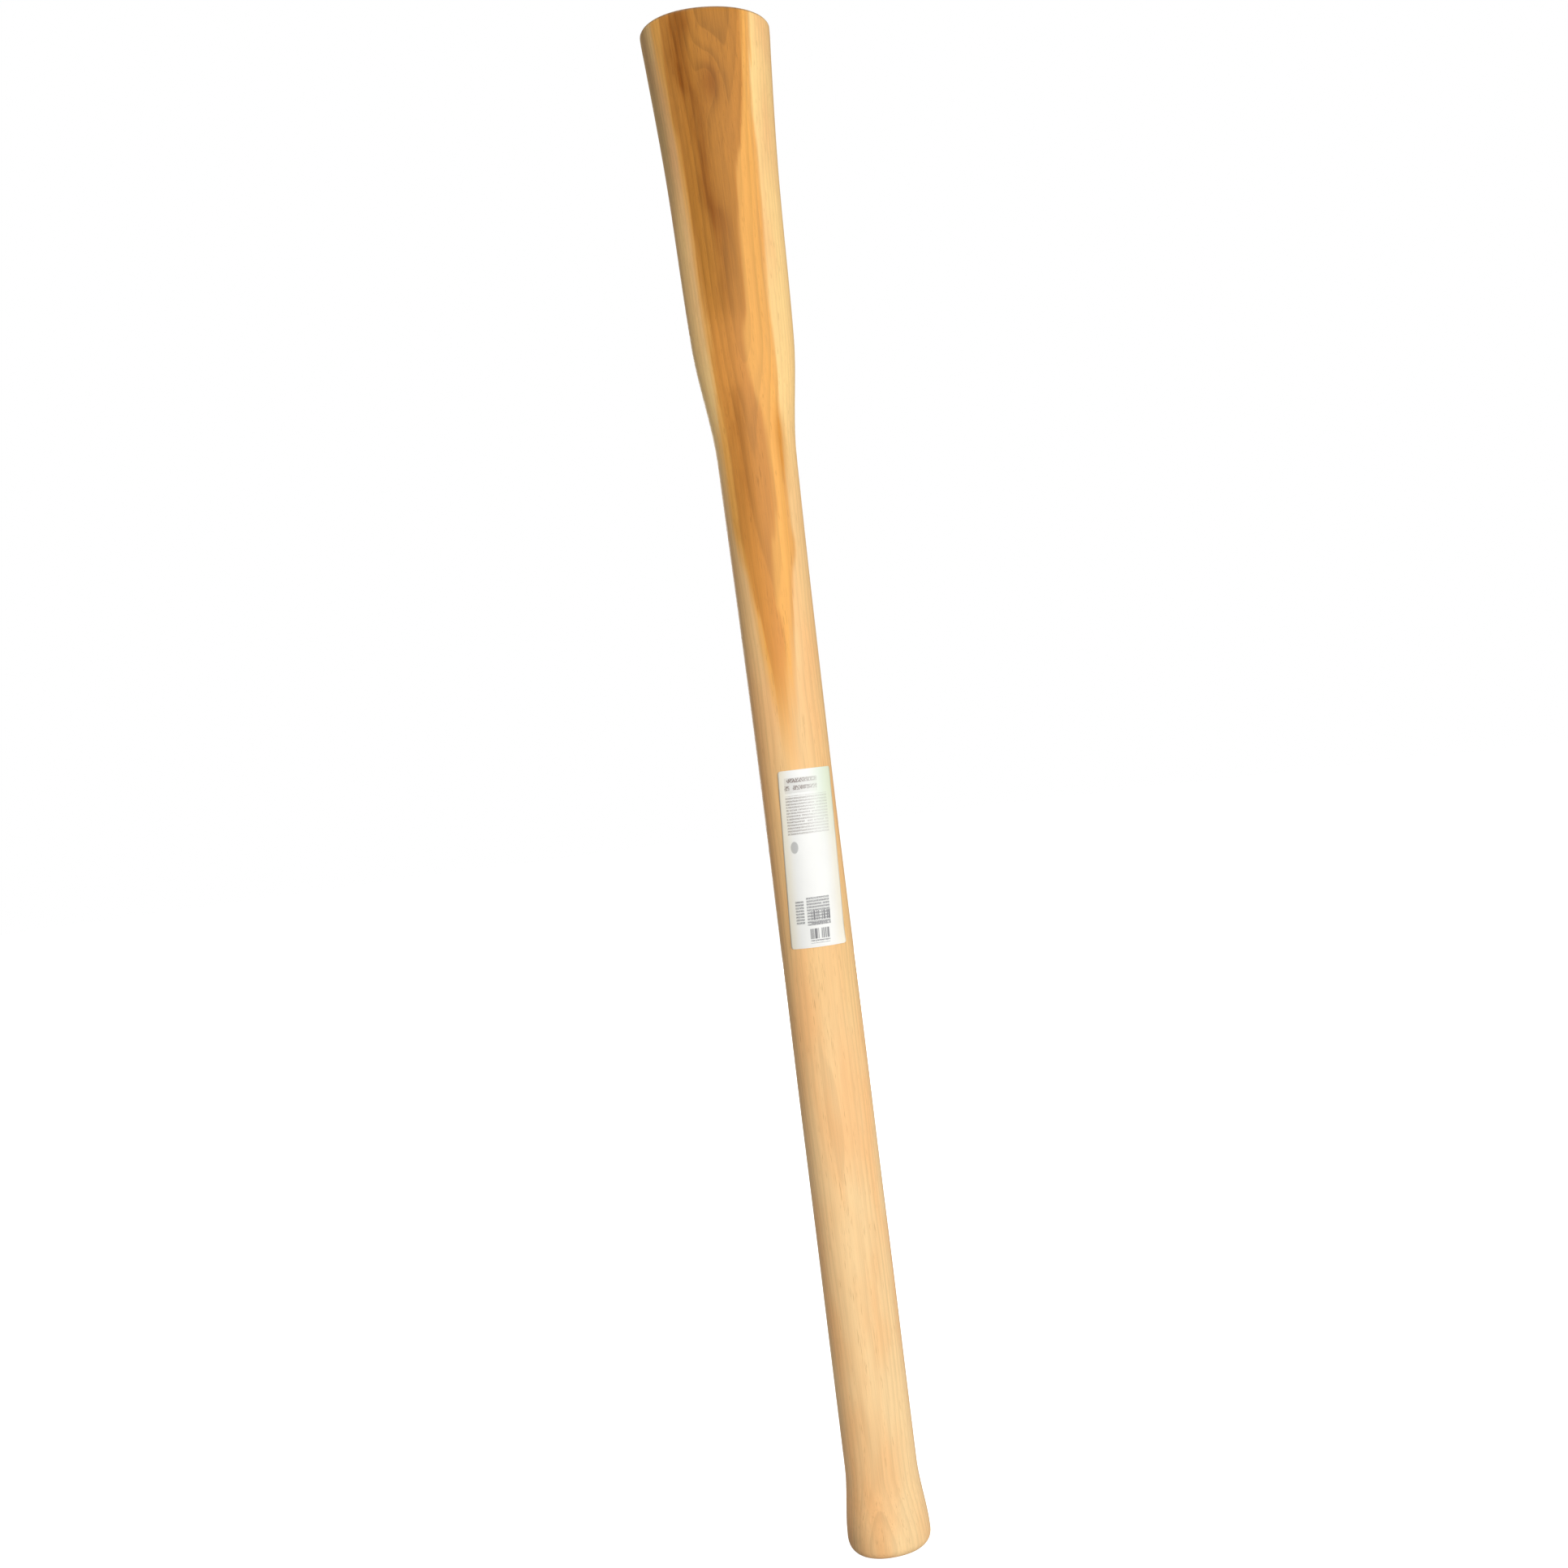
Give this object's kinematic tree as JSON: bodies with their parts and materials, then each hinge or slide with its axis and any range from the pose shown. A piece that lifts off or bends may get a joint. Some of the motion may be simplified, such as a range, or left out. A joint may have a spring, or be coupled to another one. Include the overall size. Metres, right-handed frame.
{
  "type": "striking tool handle",
  "caption": "Slip-on wooden handle for a heavy striking tool: flared oval eye end, smooth oval grip, swelled knob at the foot, and a paper label stuck to the grip.",
  "frame": {"origin": "centre of the flat foot, under the knob, in the plane that the handle stands on", "axes": "+Z along the handle from foot to eye end; X along the broad way of the oval section, with the label's far edge towards +X; -Y out of the broad face that carries the label"},
  "size_m": [0.0782, 0.054, 0.914],
  "materials": {
    "hardwood": "sanded and clear lacquered, pale sapwood with a brown heartwood streak",
    "label_paper": "white semi-gloss paper with grey print"
  },
  "bodies": {
    "root": {"handle": "hardwood", "label": "label_paper"}
  },
  "joints": []
}
